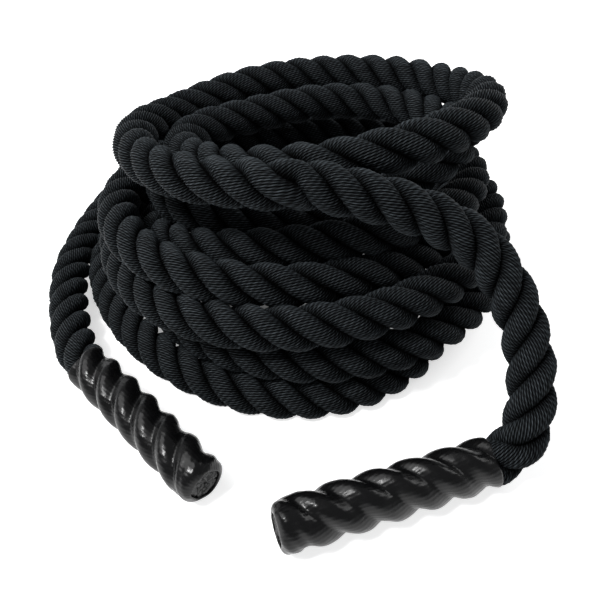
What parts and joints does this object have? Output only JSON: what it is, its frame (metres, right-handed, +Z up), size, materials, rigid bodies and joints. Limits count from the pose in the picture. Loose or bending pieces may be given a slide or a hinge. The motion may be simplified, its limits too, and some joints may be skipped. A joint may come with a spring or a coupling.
{
  "type": "battle rope",
  "caption": "Thick three-strand training rope lying in a loose coil on the floor, its two free ends held in glossy shrunk-on grip sleeves.",
  "frame": {"origin": "on the floor under the middle of the whole part's box", "axes": "+Z up; the picture looks along +Y, so the two grips lie at the part's -Y side; +X to the right in the picture"},
  "size_m": [0.5086, 0.7222, 0.232],
  "materials": {
    "rope": "matt black polyester and polypropylene yarn, laid in three strands",
    "cut_end": "the same yarn, cut square inside the sleeve",
    "sleeve": "glossy black heat-shrunk vinyl"
  },
  "bodies": {
    "root": {"rope_coil": "rope", "right_tail": "rope", "left_tail": "rope", "right_grip_strand_1": "cut_end", "right_grip_strand_2": "cut_end", "right_grip_strand_3": "cut_end", "left_grip_strand_1": "cut_end", "left_grip_strand_2": "cut_end", "left_grip_strand_3": "cut_end", "right_grip_sleeve": "sleeve", "left_grip_sleeve": "sleeve"}
  },
  "joints": []
}
